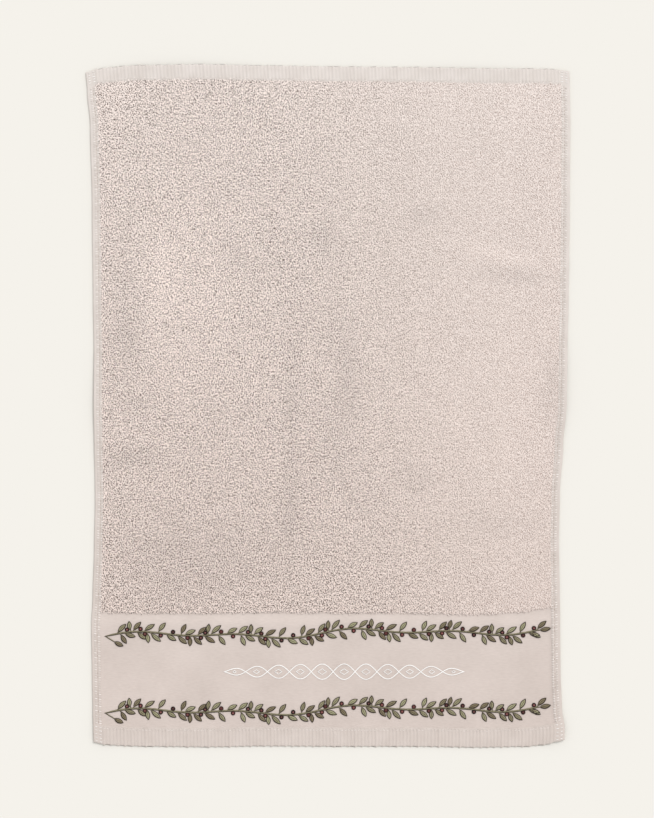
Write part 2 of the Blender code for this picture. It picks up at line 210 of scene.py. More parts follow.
# The garlands, as in their solids: a waving stem and runs of leaves and berries, every second one turned
GARLAND_LEFT = -0.2300
GARLAND_RIGHT = 0.2150
WAVES = 2
BROAD_WAVE = 0.0028
QUICK_WAVE = 0.0023
RUNS = 7
BARE_TIP = 0.024
STEM_WIDE = 0.0017
STEM_RISE = 0.0008
STEM_STEPS = 320
STEM_COLUMNS = 7
STEM_SWELL = 0.10  # the share by which the stem swells in each stitch
STEM_SLANT = 0.25  # how far a stitch slants along the stem, in its widths
STEM_SINK = 0.00015
STEM_TIP = 0.4  # the share of its thickness that the stem has at its left tip
STEM_TAPER = 0.02  # the share of its length over which it comes to the whole
STEM_THREAD_SHARE = 0.8  # the thickness of the stem's dark thread, which runs along its lower side as painted shade, as a share of the outline's
THREAD_TIP = 0.35  # the thickness of a thread where it ends, as a share of its own
STITCH_GAP = 0.0001
STALK = 0.0022
BLADE = 0.0106
LEAF_WIDE = 0.0042
LEAF_RISE = 0.0009
LEAF_BEND = 0.09  # how far a blade's tip bends along the stem, as a share of the blade
LEAF_ROWS = 25
LEAF_COLUMNS = 9
LEAF_SLANT = 0.06  # how far the stitches slant forward at the blade's edge, as a share of the blade
LEAF_SINK = 0.0002
STITCH_RIDGES = (-0.00005, 0.00009)  # the heights of every other row of stitches
CREASE_DEPTH = 0.0003
CREASE_WIDE = 0.16  # the midrib's crease, as a share of half the blade's width
MIDRIB_THREAD = 0.00026
MIDRIB_SINK = 0.00038
OUTLINE_UP = 0.00022
OUTLINE_SHADOW_SHARE = 0.35  # the share by which the outline is heavier on a blade's lower side, where the extra dark thread is painted shadow
LEAN_SWAY = 7  # degrees by which like leaves differ from run to run
LEAN_TURN = 2.3  # radians of that sway from one leaf to the next
LONG_SWAY = 0.08  # the share by which their lengths differ
LONG_TURN = 1.7
BERRY_RADIUS = 0.0020
BERRY_RISE = 0.0012
BERRY_OUT = 0.0025
BERRY_RINGS = 6
BERRY_SPOKES = 20
BERRY_RIPPLE = 0.02  # the share by which the stitches stand out round a berry
BERRY_RIDGE = 0.00005  # and how far they stand up
BERRY_SINK = 0.0001
RING_TURNS = np.arange(16) / 16 * 2 * np.pi  # where a small ring of thread has its points
OUTLINE_THREAD = 0.00053
LEAF_SLOT, STEM_SLOT, OUTLINE_AND_SHADOW_SLOT, BERRY_SLOT, SHADE_RIM_SLOT, HIGHLIGHT_SLOT = range(6)
STALK_THREADS = table("aside radius slot", (0.0, 0.00046, STEM_SLOT), (-0.0005, 0.00032, OUTLINE_AND_SHADOW_SLOT))
STALK_UP = 0.00026
# The threads round a berry: the dark rim, which is painted shade round its sides, and the light ring on
# top, which is a painted highlight
BERRY_THREADS = table(
    "ring up radius slot",
    (BERRY_RADIUS, 0.0002, OUTLINE_THREAD, SHADE_RIM_SLOT),
    (BERRY_RADIUS * 0.25, 0.00112, 0.00034, HIGHLIGHT_SLOT),
)
GARLANDS = table(
    "name left_y right_y",
    ("garland_upper", -0.2370, -0.2306),
    ("garland_lower", -0.3160, -0.3098),
)
LEAF_SPOTS = table(
    "at side lean long",
    (0.03, 1, 40, 1.08),
    (0.09, -1, 68, 0.90),
    (0.14, -1, 38, 1.06),
    (0.26, 1, 94, 0.88),
    (0.29, 1, 48, 1.00),
    (0.36, -1, 50, 0.94),
    (0.47, 1, 32, 1.16),
    (0.54, -1, 88, 0.92),
    (0.58, -1, 44, 1.12),
    (0.71, 1, 56, 0.98),
    (0.84, -1, 36, 1.10),
)
BERRY_SPOTS = table(
    "at side",
    (0.205, 1),
    (0.425, 1),
    (0.500, -1),
    (0.765, -1),
    (0.960, 1),
)
END_LEAVES = table(
    "share lean stalk blade",
    (0.002, -44, 0.0110, 0.0100),
    (0.998, 34, 0.0026, 0.0116),
    (0.998, -8, 0.0040, 0.0112),
    (0.985, -46, 0.0024, 0.0096),
)

# The white ornament between the garlands: two waving threads that cross, with a small diamond in each eye
TWINE_MIDDLE = (0.0165, -0.2735)
TWINE_HALF_LONG = 0.1240
TWINE_EYES = 11
TWINE_RISE = 0.0080
TWINE_THREAD = 0.00054
TWINE_UP = 0.6  # how high the threads lie, in their radii
TWINE_OVER = 0.5  # and how much higher or lower where they cross
DIAMOND_LONG = 0.0046
DIAMOND_WIDE = 0.0030
DIAMOND_THREAD = TWINE_THREAD * 0.8

# The stitches of the hems: thread radius, how high their four points lie in such radii, and slot
Stitch = namedtuple("Stitch", "radius rises slot")
LADDER = Stitch(0.00056, (-0.3, 0.4, 0.4, -0.3), 0)
TACK = Stitch(0.00042, (-0.3, 0.6, 0.6, -0.3), 1)
SEAM = Stitch(0.00034, (-0.3, 0.6, 0.6, -0.3), 2)
RUNNING = Stitch(0.00026, (-0.4, 0.8, 0.8, -0.4), 0)
LADDER_RUN = (BAND_HEM + 0.0030, TERRY_END - 0.0020)
LADDER_PITCH = 0.0025
# How far in from the side edge each stitch of the two columns has its points
LADDER_REACHES = ((0.0028, 0.0034, 0.0048, 0.0055), (0.0069, 0.0075, 0.0088, 0.0095))
TACK_RUNS = ((0.0030, BAND_HEM - 0.0010), (TERRY_END + 0.0020, LENGTH - 0.0026))
TACK_ROWS = 5
TACK_REACHES = ((0.0022, 0.0028, 0.0040, 0.0046), (0.0066, 0.0072, 0.0088, 0.0094))
SEAM_RUN = (BAND_HEM + 0.0030, TERRY_END - 0.0040)
SEAM_PITCH = 0.0036
SEAM_SHARES = (0.0, 0.2, 0.8, 1.0)  # where a stitch has its points, as shares of its length
SEAM_LONG = 0.0022
RUNNING_RUN = (SIDE_HEM + 0.003, WIDTH - SIDE_HEM - 0.004)
RUNNING_PITCH = 0.0034
RUNNING_SHARES = (0.0, 0.3, 0.7, 1.0)
RUNNING_LONG = 0.0024
RUNNING_INSET = 0.0015  # from an end hem's inner edge to its row of stitches

# Colours
Tones = namedtuple("Tones", "dark bright")
HEM_TONES = Tones((0.635, 0.578, 0.538), (0.685, 0.630, 0.592))
BAND_TONES = Tones((0.600, 0.535, 0.496), (0.700, 0.630, 0.590))
# The pile's tones: the dark end of each is painted shade for the shadowed gaps between the loops, deepest
# on the rough pile
SMOOTH_PILE_AND_SHADE = Tones((0.462, 0.380, 0.345), (0.824, 0.743, 0.699))
ROUGH_PILE_AND_SHADE = Tones((0.050, 0.024, 0.012), (0.880, 0.786, 0.738))
# The underside's tones, from the nubs' hollows, where the dark end is painted shade, to their tops
BACK_TONES_AND_SHADE = Tones((0.46, 0.38, 0.34), (0.76, 0.67, 0.62))
PAINTED_FALLOFF = Tones((0.883, 0.845, 0.828), (1.0, 1.0, 1.0))  # painted shade over the cloth's colours, from the band end up: deeper and warmer towards the band end, where the light falls off
GAP_SHADE_RAMP = (0.22, 0.38)  # painted shade: the shades between which the pile goes from dark, in its shadowed gaps, to bright
EACH_LOOP = 0.08  # how much one loop's shade differs from another's: partly its own tone, partly painted shade for how the light falls on it
FLOOR_TONE = (0.731, 0.710, 0.665)
# `own` is the share of a thread's tone that is one for each leaf or stitch
Thread = namedtuple("Thread", "name bright dark own")
GARLAND_THREADS = (
    Thread("thread_leaf", (0.332, 0.316, 0.192), (0.182, 0.147, 0.089), 0.5),
    Thread("thread_stem", (0.250, 0.224, 0.142), (0.120, 0.104, 0.062), 0.25),
    # The dark outline thread: on the lower sides of leaves and stem it also stands for their shadow,
    # which is painted shade
    Thread("thread_outline_and_shadow", (0.034, 0.022, 0.012), (0.016, 0.010, 0.006), 0.25),
    Thread("thread_berry", (0.085, 0.022, 0.019), (0.022, 0.008, 0.006), 0.7),
    # The berries' dark rim is painted shade, and the light ring on top of each is a painted highlight
    Thread("thread_berry_shade_rim", (0.020, 0.007, 0.005), (0.012, 0.005, 0.004), 0.25),
    Thread("thread_berry_highlight", (0.300, 0.120, 0.112), (0.110, 0.040, 0.036), 0.7),
)
WHITE_THREAD = Thread("thread_white", (0.90, 0.885, 0.865), (0.82, 0.80, 0.78), 0.25)
HEM_THREADS = (
    Thread("thread_cotton", (0.84, 0.785, 0.750), (0.64, 0.580, 0.540), 0.6),
    Thread("thread_tack", (0.90, 0.88, 0.86), (0.78, 0.75, 0.72), 0.8),
    Thread("thread_seam", (0.62, 0.530, 0.485), (0.42, 0.335, 0.290), 0.8),
)

# The light, with its angles in degrees, and the floor
SKY_STRENGTH = 0.85
LAMP_STRENGTH = 0.40
LAMP_SPREAD = 20
LAMP_HEIGHT = 58
LAMP_BEARING = 52  # from +X towards +Y
FLOOR_HALF = 15.0
FLOOR_Z = -0.0003

# The picture's frame: its size in pixels, the real size of a pixel at the cloth, and the towel's middle
FRAME_PIXELS = (654, 818)
PIXEL = 0.00103
MIDDLE_PIXEL = (328, 406)
LENS_MM = 100.0
SENSOR_MM = 36.0


def eased(rows, key, value, at):
    """The column `value` of a table where the column `key` is `at`, eased from row to row."""
    keys = np.array([getattr(row, key) for row in rows])
    values = np.array([getattr(row, value) for row in rows])
    low = np.clip(np.searchsorted(keys, at) - 1, 0, len(rows) - 2)
    share = np.clip((at - keys[low]) / (keys[low + 1] - keys[low]), 0, 1)
    share = share * share * (3 - 2 * share)
    return values[low] * (1 - share) + values[low + 1] * share


def step(at, edge, run):
    """0 before the edge and 1 after it, eased over the run."""
    share = np.clip((at - edge) / run, 0, 1)
    return share * share * (3 - 2 * share)


def hump(patch, x, y):
    """1 in the middle of a long soft patch, falling to 0 at its border."""
    turn = math.radians(patch.turn)
    dx, dy = x - patch.x, y - patch.y
    long_share = np.abs(dx * math.cos(turn) + dy * math.sin(turn)) / patch.half_long
    wide_share = np.abs(dy * math.cos(turn) - dx * math.sin(turn)) / patch.half_wide
    return (np.cos(long_share.clip(0, 1) * np.pi / 2) * np.cos(wide_share.clip(0, 1) * np.pi / 2)) ** 2


def lift(x, y):
    """How far the cloth stands off the surface: the sum of its folds."""
    return sum(fold.rise * hump(fold, x, y) for fold in FOLDS)


def fold_shade(x, y):
    """The painted shade and light of the folds at a place, as a share of the pile's usual tone."""
    return 1 + sum(patch.tone * hump(patch, x, y) for patch in FOLD_SHADES)


def plan(across, up):
    """The place of a point of the cloth, from its share of the width and its share of the length."""
    left = -WIDTH / 2 + eased(SIDE_ROWS, "up", "left_in", up)
    right = WIDTH / 2 - eased(SIDE_ROWS, "up", "right_in", up)
    low = -LENGTH / 2 + eased(END_ROWS, "across", "band_end_in", across)
    high = LENGTH / 2 - eased(END_ROWS, "across", "plain_end_in", across)
    border = BORDER / LENGTH
    nearness = np.where(up < border, up / border, (1 - up) / (1 - border))
    drift = eased(END_ROWS, "across", "border_up", across) * nearness
    return left + (right - left) * across, low + (high - low) * up + drift


def rib(across, ridges=RIB_RIDGES):
    """The ribs' share of their rise, from the share of the width."""
    inner = (SIDE_HEM + STEP_RUN) / WIDTH
    ribs = round((WIDTH - 2 * SIDE_HEM - 2 * STEP_RUN) / RIB_PITCH)
    place = (across - inner) / (1 - 2 * inner) * ribs
    total = np.zeros_like(place)
    for ridge in ridges:
        off = np.abs(place % 1.0 - ridge.middle) / ridge.half_wide
        sway = 1 + RIB_SWAY * np.sin(RIB_TURN * np.floor(place) + RIDGE_TURN * ridge.middle)
        total += ridge.rise * sway * np.cos(off.clip(0, 1) * np.pi / 2) ** 2
    return total * (across > inner) * (across < 1 - inner)


def zones(across, up):
    """How much a point belongs to the side hems, the end hems and the terry, each from 0 to 1."""
    side = np.minimum(across, 1 - across) * WIDTH
    along = up * LENGTH
    side_hem = 1 - step(side, SIDE_HEM, STEP_RUN)
    end_hem = np.maximum(1 - step(along, BAND_HEM, STEP_RUN), step(along, TERRY_END - STEP_RUN, STEP_RUN))
    terry = step(along, BORDER, STEP_RUN)
    return side_hem, end_hem, terry


def cloth_heights(across, up):
    """The thickness of the cloth, its ribs, and how far its edges are rounded, from 0 at the rim to 1."""
    side_hem, end_hem, terry = zones(across, up)
    side = np.minimum(across, 1 - across) * WIDTH
    end = np.minimum(up, 1 - up) * LENGTH
    base = FLAT_THICK + (GROUND_THICK - FLAT_THICK) * terry
    thick = base + (HEM_THICK - base) * np.maximum(side_hem, end_hem)
    seam = np.clip(1 - np.abs(side - SEAM_AT) / SEAM_HALF_WIDE, 0, 1)
    thick -= SEAM_DIP * seam * (1 - end_hem)
    ribs = RIB_RISE * rib(across) * end_hem * (1 - side_hem)
    fall = np.ones_like(thick)
    for distance in (side, end):
        short = 1 - np.clip(distance / EDGE_ROUND, 0, 1)
        fall = fall * np.sqrt(1 - short * short)
    return thick, ribs, fall


def cloth_points(across, up, face):
    """Points of the cloth's upper face (1) or lower face (-1)."""
    x, y = plan(across, up)
    near_end = 1 - step(np.minimum(up, 1 - up) * LENGTH, 0.0, SCALLOP_FADE)
    inward = np.where(up < 0.5, 1.0, -1.0)
    y = y + inward * near_end * (1 - rib(across, RIB_RIDGES[:1])) * RIB_SCALLOP
    thick, ribs, fall = cloth_heights(across, up)
    z = RIM_UP + (thick - RIM_UP + ribs) * fall if face > 0 else RIM_UP * (1 - fall)
    return np.stack([x, y, lift(x, y) + z], -1)


class Mesh:
    """Points, faces and material slots gathered for one piece."""

    def __init__(self, name):
        self.name = name
        self.points = []
        self.faces = []
        self.slots = []
        self.count = 0

    def add_points(self, points):
        """Adds points and returns their numbers."""
        points = np.asarray(points, float).reshape(-1, 3)
        self.points.append(points)
        self.count += len(points)
        return np.arange(self.count - len(points), self.count)

    def add_faces(self, faces, slot=0):
        self.faces.extend(faces)
        self.slots.extend([slot] * len(faces))

    def add_grid(self, points, slot=0, wrap=False):
        """Adds a grid of points, rows by columns, and its faces; wrap closes each row on itself."""
        rows, columns = points.shape[:2]
        near = self.add_points(points).reshape(rows, columns)
        if wrap:
            near = np.concatenate([near, near[:, :1]], 1)
        quads = np.stack([near[:-1, :-1], near[:-1, 1:], near[1:, 1:], near[1:, :-1]], -1).reshape(-1, 4)
        self.add_faces(quads.tolist(), slot)

    def finish(self, materials, fold_shaded=False):
        """Makes the object and puts it under the root body; with the last argument set, each point keeps
        the painted shade and light of the folds.
        """
        data = bpy.data.meshes.new(self.name)
        points = np.concatenate(self.points)
        data.from_pydata(points, [], self.faces)
        if fold_shaded:
            tones = data.attributes.new("fold_shade", "FLOAT", "POINT")
            tones.data.foreach_set("value", fold_shade(points[:, 0], points[:, 1]))
        for material in materials:
            data.materials.append(material)
        data.polygons.foreach_set("material_index", self.slots)
        data.polygons.foreach_set("use_smooth", [True] * len(self.faces))
        data.update()
        piece = bpy.data.objects.new(self.name, data)
        bpy.context.scene.collection.objects.link(piece)
        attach(piece, "root")
        return piece


def strip(near, far):
    """Faces between two rows of (share, number) that run the same way, whatever their counts."""
    faces = []
    i = j = 0
    while i < len(near) - 1 or j < len(far) - 1:
        next_near = near[i + 1][0] if i < len(near) - 1 else math.inf
        next_far = far[j + 1][0] if j < len(far) - 1 else math.inf
        if next_near == next_far:
            faces.append((near[i][1], near[i + 1][1], far[j + 1][1], far[j][1]))
            i += 1
            j += 1
        elif next_near < next_far:
            faces.append((near[i][1], near[i + 1][1], far[j][1]))
            i += 1
        else:
            faces.append((near[i][1], far[j + 1][1], far[j][1]))
            j += 1
    return faces


def shares_between(low, high, cell):
    """Even shares from low to high, no further apart than the cell, which is in metres of the width."""
    cells = max(1, math.ceil((high - low) * WIDTH / cell))
    return [low + (high - low) * i / cells for i in range(cells + 1)]


def cloth_columns(cell):
    """Shares of the width for one row of points."""
    rim = [EDGE_ROUND * share / WIDTH for share in EDGE_SHARES]
    hem = [at / WIDTH for at in SIDE_HEM_LINES]
    inner = (SIDE_HEM + STEP_RUN) / WIDTH
    left = rim + hem
    return left + shares_between(inner, 1 - inner, cell) + [1 - share for share in reversed(left)]


def cloth_rows():
    """Shares of the length for the rows, each with whether it crosses a ribbed hem."""
    rim = [EDGE_ROUND * share for share in EDGE_SHARES]
    low_hem = [*rim, *BAND_HEM_LINES]
    high_hem = [*rim, *PLAIN_HEM_LINES]
    band = [BAND_HEM + STEP_RUN * 0.5, *np.arange(BAND_HEM + STEP_RUN, BORDER, TOP_CELL)]
    terry = [BORDER, BORDER + STEP_RUN * 0.5]
    terry += [*np.arange(BORDER + STEP_RUN, TERRY_END - STEP_RUN, TOP_CELL)]
    terry += [TERRY_END - STEP_RUN, TERRY_END - STEP_RUN * 0.5]
    rows = [(at / LENGTH, True) for at in low_hem]
    rows += [(at / LENGTH, False) for at in band + terry]
    rows += [(1 - at / LENGTH, True) for at in reversed(high_hem)]
    return rows


def towel_cloth():
    """The woven cloth: ground, band, ribbed hems and side hems, as one closed sheet."""
    mesh = Mesh("towel_sheet")
    rib_cell = RIB_PITCH / RIB_STEPS
    columns = {True: np.array(cloth_columns(rib_cell)), False: np.array(cloth_columns(TOP_CELL))}
    under_columns = np.array(cloth_columns(UNDER_CELL))
    rows = cloth_rows()
    tops, unders = [], []
    for up, ribbed in rows:
        shares = columns[ribbed]
        numbers = mesh.add_points(cloth_points(shares, np.full(len(shares), up), 1))
        tops.append(list(zip(shares.tolist(), numbers.tolist())))
    for index, (up, ribbed) in enumerate(rows):
        if index in (0, len(rows) - 1):
            unders.append(tops[index])
            continue
        inner = under_columns[1:-1]
        numbers = mesh.add_points(cloth_points(inner, np.full(len(inner), up), -1))
        unders.append([tops[index][0], *zip(inner.tolist(), numbers.tolist()), tops[index][-1]])
    points = np.concatenate(mesh.points)
    for index in range(len(rows) - 1):
        middle = (rows[index][0] + rows[index + 1][0]) / 2 * LENGTH
        hem = middle < BAND_HEM + STEP_RUN or middle > TERRY_END - STEP_RUN
        inside = HEM_SLOT if hem else (BAND_SLOT if middle < BORDER else GROUND_SLOT)
        left, right = plan(np.array([0.0, 1.0]), np.full(2, middle / LENGTH))[0]
        for faces, under in (
            (strip(tops[index], tops[index + 1]), False),
            (strip(unders[index + 1], unders[index]), True),
        ):
            corners = points[[face[0] for face in faces]]
            edge = (corners[:, 0] < left + SIDE_HEM) | (corners[:, 0] > right - SIDE_HEM - STEP_RUN)
            inner_slot = BACK_SLOT if under and inside == GROUND_SLOT else inside
            mesh.faces.extend(faces)
            mesh.slots.extend(np.where(edge, HEM_SLOT, inner_slot).tolist())
    materials = [hem_cotton(), band_cotton(), ground_cotton(), back_terry()]
    piece = mesh.finish(materials, fold_shaded=True)
    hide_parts("towel_cloth")
    return piece


def wander(seed, longest, shortest, count=9):
    """A smooth value that wanders between about -1 and 1 over the cloth, as a function of x and y."""
    rng = np.random.default_rng(seed)
    length = rng.uniform(shortest, longest, count)
    turn = rng.uniform(0, 2 * np.pi, count)
    phase = rng.uniform(0, 2 * np.pi, count)

    def value(x, y):
        total = np.zeros_like(x)
        for k in range(count):
            ahead = x * np.cos(turn[k]) + y * np.sin(turn[k])
            total += np.sin(ahead * 2 * np.pi / length[k] + phase[k])
        return total / math.sqrt(count / 2)

    return value


def ruffle(x, y):
    """How high the pile stands: 1.2 at the lower left, where it is rough, and 0.8 at the upper right."""
    return 1.0 - ROUGHER_LEFT * x / WIDTH - ROUGHER_LOW * y / LENGTH


def terry_loops():
    """The pile of the upper face: settled yarn loops, in a few joined pieces up the length."""
    rng = np.random.default_rng(41)
    clump = wander(seed=8, longest=0.016, shortest=0.007, count=14)
    lean = wander(seed=7, longest=0.09, shortest=0.03)
    columns = round((WIDTH - 2 * TERRY_MARGIN) / LOOP_ACROSS)
    rows = round((TERRY_END - BORDER) / LOOP_ALONG)
    row, column = np.meshgrid(np.arange(rows), np.arange(columns), indexing="ij")
    margin = (TERRY_MARGIN + rng.uniform(-EDGE_STRAY, EDGE_STRAY, row.shape)) / WIDTH
    low = (BORDER + rng.uniform(-EDGE_STRAY, EDGE_STRAY, row.shape)) / LENGTH
    high = (TERRY_END - rng.uniform(0, EDGE_STRAY, row.shape)) / LENGTH
    across = (column + 0.5 + rng.uniform(-LOOP_JITTER, LOOP_JITTER, row.shape)) / columns
    up = (row + 0.25 + 0.5 * (column % 2) + rng.uniform(-LOOP_JITTER, LOOP_JITTER, row.shape)) / rows
    across = (margin + (1 - 2 * margin) * across).ravel()
    up = (low + (high - low) * up).ravel()
    x, y = plan(across, up)
    count = len(x)
    rough = ruffle(x, y)
    turn = np.pi / 2 + LOOP_LEAN * lean(x, y) + rng.normal(0, LOOP_SCATTER, count)
    length = LOOP_LENGTH * rng.uniform(1 - LENGTH_SPREAD, 1 + LENGTH_SPREAD, count)
    uneven = 1 + CLUMP_RISE * clump(x, y) + rng.normal(0, HEIGHT_SPREAD, count)
    height = LOOP_HEIGHT * rough * uneven.clip(*HEIGHT_LIMITS)
    tilt = rng.normal(0, LOOP_TILT, count) * height
    along, rise, sink = np.array(LOOP_PATH).T
    ahead = np.stack([np.cos(turn), np.sin(turn)], -1)
    aside = np.stack([-np.sin(turn), np.cos(turn)], -1)
    centre = np.stack([x, y], -1)[:, None, :] + ahead[:, None, :] * (along * length[:, None])[:, :, None]
    centre = centre + aside[:, None, :] * (rise * tilt[:, None])[:, :, None]
    base = lift(centre[..., 0], centre[..., 1]) + GROUND_THICK
    out, over = np.array(YARN_SHAPE).T
    radius = YARN_RADIUS * rng.uniform(1 - YARN_SPREAD, 1 + YARN_SPREAD, count)[:, None, None]
    points = np.empty((count, len(LOOP_PATH), len(YARN_SHAPE), 3))
    points[..., :2] = centre[:, :, None, :] + aside[:, None, None, :] * (out * radius)[..., None]
    points[..., 2] = (base + rise * height[:, None] - sink * YARN_RADIUS)[:, :, None] + over * radius
    stride = len(LOOP_PATH) * len(YARN_SHAPE)
    corners = np.arange(stride).reshape(len(LOOP_PATH), len(YARN_SHAPE))
    quads = np.stack([corners[:-1, :-1], corners[1:, :-1], corners[1:, 1:], corners[:-1, 1:]], -1)
    quads = quads.reshape(-1, 4)
    material = loop_cotton()
    pieces = []
    for index, share in enumerate(np.array_split(np.arange(count), LOOP_PIECES)):
        mesh = Mesh(f"terry_loops_{index + 1}")
        mesh.add_points(points[share])
        faces = (np.arange(len(share))[:, None, None] * stride + quads[None]).reshape(-1, 4)
        mesh.add_faces(faces.tolist())
        pieces.append(mesh.finish([material], fold_shaded=True))
    return pieces


def band_top(x, y):
    """The height just above the flat band, where embroidery lies."""
    return lift(x, y) + FLAT_THICK + STITCH_GAP


def thread_tube(mesh, path, radius, sides=4, slot=0, closed=False):
    """A thread along a path, given as its x, y and z, and thinner where it ends."""
    path = np.stack(path, -1)
    if closed:
        ahead = np.roll(path, -1, axis=0) - np.roll(path, 1, axis=0)
    else:
        ahead = np.gradient(path, axis=0)
    ahead /= np.linalg.norm(ahead, axis=1, keepdims=True)
    side = np.cross(ahead, (0, 0, 1))
    side /= np.linalg.norm(side, axis=1, keepdims=True)
    over = np.cross(side, ahead)
    turn = np.arange(sides) / sides * 2 * np.pi + np.pi / sides
    radii = np.full(len(path), radius)
    if not closed:
        radii[0] = radii[-1] = radius * THREAD_TIP
    ring = side[:, None, :] * np.cos(turn)[None, :, None] + over[:, None, :] * np.sin(turn)[None, :, None]
    points = path[:, None, :] + ring * radii[:, None, None]
    if closed:
        points = np.concatenate([points, points[:1]])
    mesh.add_grid(points, slot, wrap=True)


def stem_point(garland, share):
    """A point of a garland's stem, from its share of the whole garland's length."""
    x = GARLAND_LEFT + (GARLAND_RIGHT - GARLAND_LEFT) * share
    base = garland.left_y + (garland.right_y - garland.left_y) * share
    turn = 2 * np.pi * WAVES * share
    return x, base + BROAD_WAVE * np.sin(turn) + QUICK_WAVE * np.sin(2 * turn)


def stem_heading(garland, share):
    """The stem's direction there, in radians from +X."""
    reach = 1e-3
    x0, y0 = stem_point(garland, share - reach)
    x1, y1 = stem_point(garland, share + reach)
    return np.arctan2(y1 - y0, x1 - x0)


def add_stem(mesh, garland):
    """The stem as plaited stitches: a rounded ridge that swells with each, and a dark thread along its
    lower side, an outline stitch that also stands for the stem's shade there.
    """
    share = np.linspace(0, 1, STEM_STEPS + 1)
    x, y = stem_point(garland, share)
    heading = stem_heading(garland, share)
    swell = 1 + STEM_SWELL * np.sin(np.arange(STEM_STEPS + 1) * np.pi / 2)
    taper = STEM_TIP + (1 - STEM_TIP) * step(share, 0.0, STEM_TAPER)
    across = np.linspace(-1, 1, STEM_COLUMNS)
    wide = (STEM_WIDE / 2 * swell * taper)[:, None] * across
    slant = STEM_SLANT * STEM_WIDE * across[None, :]
    px = x[:, None] - np.sin(heading)[:, None] * wide + np.cos(heading)[:, None] * slant
    py = y[:, None] + np.cos(heading)[:, None] * wide + np.sin(heading)[:, None] * slant
    arch = np.sqrt((1 - across * across).clip(0, 1)) * STEM_RISE
    pz = band_top(px, py) + arch * (swell * taper)[:, None] - STEM_SINK
    mesh.add_grid(np.stack([px, py, pz], -1)[:, ::-1], STEM_SLOT)
    # The dark thread runs along the stem's lower side, where it is partly outline and partly painted
    # shade
    x = x + np.sin(heading) * STEM_WIDE / 2 * taper
    y = y - np.cos(heading) * STEM_WIDE / 2 * taper
    z = band_top(x, y) + OUTLINE_THREAD * 0.5
    thread_tube(mesh, (x, y, z), OUTLINE_THREAD * STEM_THREAD_SHARE, slot=OUTLINE_AND_SHADOW_SLOT)


class Leaf:
    """Where one leaf lies: its foot on the stem's middle line, its heading, its stalk and its blade."""

    def __init__(self, garland, share, lean, stalk, blade):
        self.x, self.y = stem_point(garland, share)
        heading = stem_heading(garland, share) + math.radians(lean)
        self.cos, self.sin = math.cos(heading), math.sin(heading)
        self.stalk = stalk
        self.blade = blade
        self.bend = -math.copysign(LEAF_BEND, lean) * blade

    def place(self, share, out):
        """A point at a share of the blade, below 0 on the stalk, and a distance out from the midrib."""
        along = np.where(share < 0, self.stalk * (1 + share), self.stalk + self.blade * share)
        out = out + self.bend * np.clip(share, 0, None) ** 2
        return self.x + self.cos * along - self.sin * out, self.y + self.sin * along + self.cos * out


def leaf_half(share):
    """Half the blade's width at a share of its length."""
    return LEAF_WIDE / 2 * np.sin(np.pi * share.clip(0, 1) ** 0.86) ** 1.05


def leaf_rise(share):
    """The height of the blade's middle at a share of its length."""
    return LEAF_RISE * (0.25 + 0.75 * np.sin(np.pi * share) ** 0.5)


def add_leaf(mesh, leaf):
    """A leaf of slanting satin stitches, with its midrib, stalk and dark outline thread, heavier on the
    lower side as painted shadow.
    """
    share = np.linspace(0, 1, LEAF_ROWS)[:, None]
    out = np.linspace(-1, 1, LEAF_COLUMNS)[None, :]
    slant = LEAF_SLANT * np.abs(out) * np.sin(np.pi * share)
    ridge = np.array(STITCH_RIDGES)[np.arange(LEAF_ROWS) % 2][:, None]
    dome = leaf_rise(share) * (1 - np.abs(out) ** 2.4) ** 0.6
    crease = CREASE_DEPTH * np.exp(-((out / CREASE_WIDE) ** 2)) * np.sin(np.pi * share)
    x, y = leaf.place(share + slant, out * leaf_half(share))
    z = band_top(x, y) - LEAF_SINK + dome - crease + ridge * (1 - np.abs(out) ** 6)
    mesh.add_grid(np.stack([x, y, z], -1)[:, ::-1], LEAF_SLOT)
    edge = np.linspace(0, 1, 12)
    round_edge = np.concatenate([edge, edge[-2:0:-1]])
    side = np.where(np.arange(len(round_edge)) < len(edge), 1, -1)
    slanted = round_edge + LEAF_SLANT * np.sin(np.pi * round_edge)
    x, y = leaf.place(slanted, side * leaf_half(round_edge))
    # The outline is heavier on the blade's lower side: painted shadow there
    radius = OUTLINE_THREAD * (1 - OUTLINE_SHADOW_SHARE * side * leaf.cos)
    thread_tube(mesh, (x, y, band_top(x, y) + OUTLINE_UP), radius, slot=OUTLINE_AND_SHADOW_SLOT, closed=True)
    midrib = np.linspace(0.02, 0.80, 6)
    x, y = leaf.place(midrib, np.zeros(6))
    z = band_top(x, y) - MIDRIB_SINK + leaf_rise(midrib)
    thread_tube(mesh, (x, y, z), MIDRIB_THREAD, slot=OUTLINE_AND_SHADOW_SLOT)
    stalk = np.linspace(-1.0, 0.12, 6)
    for line in STALK_THREADS:
        x, y = leaf.place(stalk, np.full(6, line.aside))
        thread_tube(mesh, (x, y, band_top(x, y) + STALK_UP), line.radius, slot=line.slot)


def add_berry(mesh, centre):
    """A round knot of stitches with a dark rim of painted shade and a light ring on top, a painted
    highlight.
    """
    share = np.linspace(1, 0.04, BERRY_RINGS)[:, None]
    turn = np.arange(BERRY_SPOKES)[None, :] / BERRY_SPOKES * 2 * np.pi
    stitch = np.cos(turn * BERRY_SPOKES / 2)
    radius = BERRY_RADIUS * share * (1 + BERRY_RIPPLE * stitch)
    x = centre[0] + radius * np.cos(turn)
    y = centre[1] + radius * np.sin(turn)
    rise = BERRY_RISE * np.sqrt((1 - share**2).clip(0, 1)) + BERRY_RIDGE * stitch * share
    mesh.add_grid(np.stack([x, y, band_top(x, y) - BERRY_SINK + rise], -1), BERRY_SLOT, wrap=True)
    for line in BERRY_THREADS:
        x = centre[0] + line.ring * np.cos(RING_TURNS)
        y = centre[1] + line.ring * np.sin(RING_TURNS)
        thread_tube(mesh, (x, y, band_top(x, y) + line.up), line.radius, slot=line.slot, closed=True)


